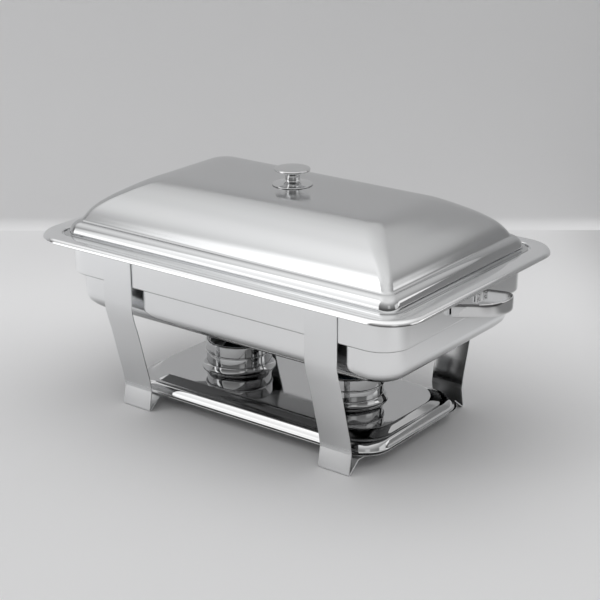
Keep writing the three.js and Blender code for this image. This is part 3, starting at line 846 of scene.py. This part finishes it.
def burner_skirt(side, x, z):
    """Flared base ring round the cup."""
    R, S = CUP_R, SKIRT_R
    outer = [(R, z + 9.3), (R + 0.05, z + 8.6), (R + 0.5, z + 6.9), (R + 1.6, z + 4.3),
             (R + 3.2, z + 2.0), (S - 0.45, z + 0.95)]
    lip = [(S - 0.05, z + 0.7), (S, z + 0.35), (S - 0.2, z + 0.05), (S - 0.7, z)]
    inner = [(S - 1.4, z + 0.1), (R + 2.0, z + 2.0), (R + 0.5, z + 4.0), (R - 0.4, z + 6.2),
             (R - 0.85, z + 7.4)]
    rows = [*smooth_profile(outer, 14), *lip, *smooth_profile(inner, 10),
            (R - 0.9, z + 9.4), (R - 0.2, z + 9.4)]
    make(f"skirt_{side}", lathe(rows, x), "burner", f"burner_{side}", f"burner_skirt_{side}",
         angle=50)


def burner_cover(side, x, low, top):
    """Cover ring: bead at its lower edge, rolled top edge, sunken lip round the opening."""
    R, H = CUP_R, OPENING_R
    rows = [
        (R - 0.9, low + 0.05), (R - 0.2, low),
        *arc(R + 0.45, low + 1.1, 0.45, 1.05, -1.9, 1.5, 10),
        (R, low + 2.5), (R, top - 2.2),
        *arc(R - 2.2, top - 2.2, 2.2, 2.2, 0.2, 2.9, 12),
        (R - 5.1, top - 2.3), (R - 5.7, top - 2.8), (H + 0.8, top - 3.0), (H + 0.2, top - 3.4),
        (H, top - 4.0), (H + 0.1, top - 4.4), (H + 0.8, top - 4.4), (H + 1.2, top - 4.05),
        (R - 5.2, top - 3.7), (R - 4.2, top - 3.0), (R - 3.5, top - 1.7), (R - 2.2, top - 1.0),
        (R - 1.2, top - 1.6), (R - 0.9, top - 2.4),
    ]
    make(f"cover_ring_{side}", lathe(rows, x), "burner", f"cover_{side}",
         f"burner_cover_{side}", angle=45)


def fuel_can(side, x):
    """Tin with rolled seams, three ribs low on its wall and a round mouth."""
    low, high = box_mm(f"fuel_can_{side}")
    z, top = low[2], high[2]
    C, M = CAN_R, MOUTH_R
    rows = [(0, z + 0.6), (C - 4.5, z + 0.6), (C - 3.6, z), (C - 0.9, z), (C - 0.15, z + 0.35),
            (C, z + 1.0), (C - 0.15, z + 1.6), (C - 0.6, z + 2.0), (C - 0.6, z + 9)]
    for k in range(3):
        rib = z + 10.5 + k * 3.0
        rows += [(C - 0.6, rib), (C - 0.2, rib + 0.7), (C - 0.6, rib + 1.4)]
    rows += [
        (C - 0.6, top - 2.6), (C - 0.1, top - 2.0), (C, top - 1.1), (C - 0.3, top - 0.3),
        (C - 1.0, top), (C - 2.0, top - 0.4), (C - 2.8, top - 1.2), (M + 4, top - 1.2),
        (M + 2.6, top - 0.4), (M + 1.2, top), (M + 0.3, top - 0.5), (M, top - 1.4),
        (M + 0.6, top - 1.8), (M + 1.2, top - 1.1), (M + 2.8, top - 1.4), (M + 4, top - 2.0),
        (C - 3.2, top - 2.0), (C - 1.6, top - 2.2), (C - 1.4, top - 3.0), (C - 1.4, z + 2.2),
        (C - 2.4, z + 1.3), (0, z + 1.3),
    ]
    make(f"can_{side}", lathe(rows, x), "tin", f"can_{side}", f"fuel_can_{side}", angle=40)


def fuel_gel(side, x):
    """Fill of the can, with a gently uneven top."""
    low, high = box_mm(f"fuel_gel_{side}")
    z, top = low[2], high[2]
    G = CAN_R - 1.6
    rows = [(0, z + 0.4), (G - 1.4, z + 0.4), (G - 0.3, z + 1.2), (G, z + 2.4), (G, top - 1.4),
            (G - 0.5, top - 0.9), (G - 2, top - 1.0), (30, top - 1.5), (18, top - 1.3),
            (9, top - 1.7), (0, top - 1.6)]
    make(f"gel_{side}", lathe(rows, x), "gel", f"can_{side}", f"fuel_gel_{side}")


def burner(side):
    cup_low, cup_high = box_mm(f"burner_cup_{side}")
    cover_low, cover_high = box_mm(f"burner_cover_{side}")
    x = (cup_low[0] + cup_high[0]) / 2
    z = box_mm(f"burner_skirt_{side}")[0][2]
    top = cover_high[2]
    burner_cup(side, x, z, top)
    burner_skirt(side, x, z)
    burner_cover(side, x, cover_low[2], top)
    fuel_can(side, x)
    fuel_gel(side, x)


for side, _ in SIDES:
    burner(side)


# ------------------------------------------------------------------ camera
VIEW_AZIMUTH = math.radians(37.022)      # from the front (-Y) towards +X
VIEW_ELEVATION = math.radians(19.96)
VIEW_ROLL = math.radians(-0.087)
VIEW_DISTANCE = 2164.494                 # mm
VIEW_TARGET = (-34.929, 61.866, 124.414)  # mm
LENS, SENSOR = 95.58852, 36.0            # focal length and sensor width, mm


def camera():
    back = Vector((math.sin(VIEW_AZIMUTH) * math.cos(VIEW_ELEVATION),
                   -math.cos(VIEW_AZIMUTH) * math.cos(VIEW_ELEVATION),
                   math.sin(VIEW_ELEVATION)))
    data = bpy.data.cameras.new("camera")
    data.sensor_width = SENSOR
    data.lens = LENS
    data.clip_start = 0.05
    ob = bpy.data.objects.new("camera", data)
    bpy.context.scene.collection.objects.link(ob)
    ob.location = (Vector(VIEW_TARGET) + back * VIEW_DISTANCE) * MM
    ob.rotation_euler = (-back).to_track_quat("-Z", "Y").to_euler()
    ob.rotation_euler.rotate_axis("Z", VIEW_ROLL)
    bpy.context.scene.camera = ob


camera()


# ------------------------------------------------------------------ floor and wall
# level directions away from the viewer and to the viewer's right
AWAY = Vector((-math.sin(VIEW_AZIMUTH), math.cos(VIEW_AZIMUTH), 0))
RIGHT = Vector((math.cos(VIEW_AZIMUTH), math.sin(VIEW_AZIMUTH), 0))
WALL_AWAY = 0.80
WALL_HEIGHT = 1.15
COVE = 0.02          # radius between floor and wall
HALF_WIDTH = 6.0


def backdrop_material(name, colour):
    """Matt paint with a faint drift of tone."""
    drift = 0.02
    material, graph, bsdf, _ = mottled(name, dark=[c * (1 - drift) for c in colour],
                                       light=[c * (1 + drift) for c in colour],
                                       scale=2.0, detail=3.0, rough=0.5)
    bsdf.inputs["Roughness"].default_value = 0.9
    bsdf.inputs["Specular IOR Level"].default_value = 0.1
    return material, graph, bsdf


def floor_painted_light_material():
    """Floor with painted light and shade: it darkens towards the viewer, to the right and near
    the wall, and lightens to the left."""
    material, graph, bsdf = backdrop_material("studio_floor_painted_light", (0.85, 0.85, 0.855))
    colour = bsdf.inputs["Base Color"].links[0].from_socket
    position = graph.add("ShaderNodeTexCoord").outputs["Object"]

    def along(axis, distances, tones):
        dot = graph.add("ShaderNodeVectorMath", operation="DOT_PRODUCT")
        graph.link(position, dot.inputs[0])
        dot.inputs[1].default_value = tuple(axis)
        return graph.smoothstep(dot.outputs["Value"], distances, tones)

    # painted shade towards the viewer, to the right and near the wall; painted light to the left
    tone = along(-AWAY, (0.60, 1.25), (1.0, 0.12))
    for axis, distances, tones in (
            (RIGHT, (0.41, 0.74), (1.0, 0.38)),
            (AWAY, (WALL_AWAY - 0.50, WALL_AWAY - 0.05), (1.0, 0.86)),
            (-RIGHT, (0.46, 0.9), (1.0, 1.16))):
        tone = graph.calc("MULTIPLY", tone, along(axis, distances, tones))
    graph.link(graph.dim(colour, tone), bsdf.inputs["Base Color"])
    return material


def sheet(name, rows, material):
    """A wide sheet square to the view, through (distance away, z) rows."""
    verts = []
    for distance, z in rows:
        for across in (-HALF_WIDTH, HALF_WIDTH):
            p = AWAY * distance + RIGHT * across
            verts.append((p.x, p.y, z))
    faces = [(2 * i, 2 * i + 1, 2 * i + 3, 2 * i + 2) for i in range(len(rows) - 1)]
    mesh = bpy.data.meshes.new(name)
    mesh.from_pydata(verts, [], faces)
    mesh.shade_smooth()
    mesh.materials.append(material)
    ob = bpy.data.objects.new(name, mesh)
    bpy.context.scene.collection.objects.link(ob)


def floor_and_wall():
    floor = floor_painted_light_material()
    wall = backdrop_material("studio_wall", (0.78, 0.78, 0.785))[0]
    foot = WALL_AWAY - COVE
    sheet("floor", [(-5.0, 0.0), (foot, 0.0)], floor)
    cove = [(foot + COVE * math.sin(t), COVE - COVE * math.cos(t))
            for t in np.linspace(0, math.pi / 2, 8)]
    sheet("wall", cove + [(WALL_AWAY, 0.4), (WALL_AWAY, WALL_HEIGHT)], wall)


floor_and_wall()


# ------------------------------------------------------------------ lights
def backdrop_light():
    """A long strip above and in front of the wall, aimed at the wall's lower part."""
    data = bpy.data.lights.new("backdrop", "AREA")
    data.shape = "RECTANGLE"
    data.size, data.size_y = 3.2, 0.35
    data.energy = 2.6
    data.spread = math.radians(80)
    ob = bpy.data.objects.new("backdrop", data)
    bpy.context.scene.collection.objects.link(ob)
    place = AWAY * (WALL_AWAY - 0.42) + Vector((0, 0, 1.35))
    target = AWAY * WALL_AWAY + Vector((0, 0, 0.35))
    ob.location = place
    ob.rotation_euler = (target - place).to_track_quat("-Z", "Y").to_euler()


# elevation in degrees, brightness of the room
SKY = [(-30, 0.05), (-4, 0.08), (8, 0.13), (20, 0.24), (33, 0.42), (45, 0.66), (56, 0.92),
       (66, 1.12), (80, 1.2)]
# azimuth from +X towards +Y, half width, softness, lowest, highest, softness (degrees), strength
SOFT_BOXES = [
    (-128, 12, 4, -8, 48, 8, 1.06),
    (-127, 14, 4, -14, 10, 5, 0.65),
    (-150, 40, 25, 30, 72, 14, 0.30),
    (85, 50, 25, 48, 72, 12, -0.12),
    (75, 30, 14, 24, 38, 5, 0.15),
    (95, 40, 20, 30, 50, 10, 0.07),
    (44, 12, 2.5, 7, 21, 4, 1.10),
    (18, 13, 4, 0, 26, 5, 0.65),
    (-40, 9, 4, 14, 34, 5, 0.30),
]
DARKEST = 0.02       # least brightness of the room


def room():
    """A dim studio round the dish, brighter overhead, with soft-edged patches of light."""
    world = bpy.data.worlds.new("studio")
    bpy.context.scene.world = world
    graph = Graph(world)
    calc, smoothstep = graph.calc, graph.smoothstep
    background = graph.tree.nodes["Background"]
    coords = graph.add("ShaderNodeTexCoord")
    split = graph.add("ShaderNodeSeparateXYZ")
    graph.link(coords.outputs["Generated"], split.inputs[0])
    x, y, z = split.outputs
    azimuth = calc("MULTIPLY", calc("ARCTAN2", y, x), 180 / math.pi)
    elevation = calc("MULTIPLY", calc("ARCSINE", z), 180 / math.pi)

    def soft_box(centre, half, side_soft, low, high, end_soft, strength):
        turn = calc("WRAP", calc("SUBTRACT", azimuth, centre), 180.0, -180.0)
        across = smoothstep(calc("ABSOLUTE", turn), (half - side_soft, half + side_soft), (1, 0))
        above = smoothstep(elevation, (low - end_soft, low + end_soft), (0, 1))
        below = smoothstep(elevation, (high - end_soft, high + end_soft), (1, 0))
        return calc("MULTIPLY", calc("MULTIPLY", across, above),
                    calc("MULTIPLY", below, strength))

    ramp = graph.add("ShaderNodeValToRGB")
    sky = ramp.color_ramp
    sky.interpolation = "B_SPLINE"
    while len(sky.elements) < len(SKY):
        sky.elements.new(0.5)
    for stop, (degrees, level) in zip(sky.elements, SKY):
        stop.position = (degrees + 90) / 180
        stop.color = (level, level, level, 1)
    graph.link(graph.remap(elevation, (-90, 90), (0, 1)), ramp.inputs[0])
    total = ramp.outputs[0]
    for spec in SOFT_BOXES:
        total = calc("ADD", total, soft_box(*spec))
    total = calc("MAXIMUM", total, DARKEST)
    graph.link(total, background.inputs["Strength"])
    background.inputs["Color"].default_value = (1.0, 1.0, 1.0, 1)


backdrop_light()
room()
bpy.context.scene.view_settings.view_transform = "Standard"
